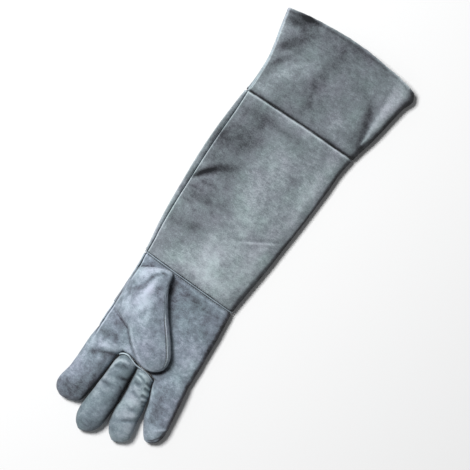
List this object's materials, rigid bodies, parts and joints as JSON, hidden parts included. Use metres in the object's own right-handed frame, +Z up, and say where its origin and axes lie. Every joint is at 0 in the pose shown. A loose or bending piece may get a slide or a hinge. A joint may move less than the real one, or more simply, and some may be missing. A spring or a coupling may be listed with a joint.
{
  "type": "animal handling gauntlet",
  "caption": "Long right-hand split-leather gauntlet lying palm up, with a flared cuff, a forearm sleeve, separate fingers and the thumb folded over the palm.",
  "frame": {"origin": "the middle of the bounding box, on the ground under the gauntlet", "axes": "+Y from the fingertips to the cuff's mouth, +X from the thumb side to the little finger side, +Z up, out of the palm"},
  "size_m": [0.1999, 0.6038, 0.0484],
  "materials": {
    "leather": "matte split leather, brushed nap",
    "finger_leather": "matte, smoother and greener split leather",
    "welt_leather": "matte cut edge of split leather"
  },
  "bodies": {
    "root": {"cuff_flare": "leather", "forearm_sleeve": "leather", "hand_shell": "leather", "middle_finger": "finger_leather", "ring_finger": "finger_leather", "thumb": "leather", "side_welt": "welt_leather", "wrist_welt": "welt_leather", "knuckle_welt": "welt_leather", "thumb_welt": "welt_leather"}
  },
  "joints": []
}
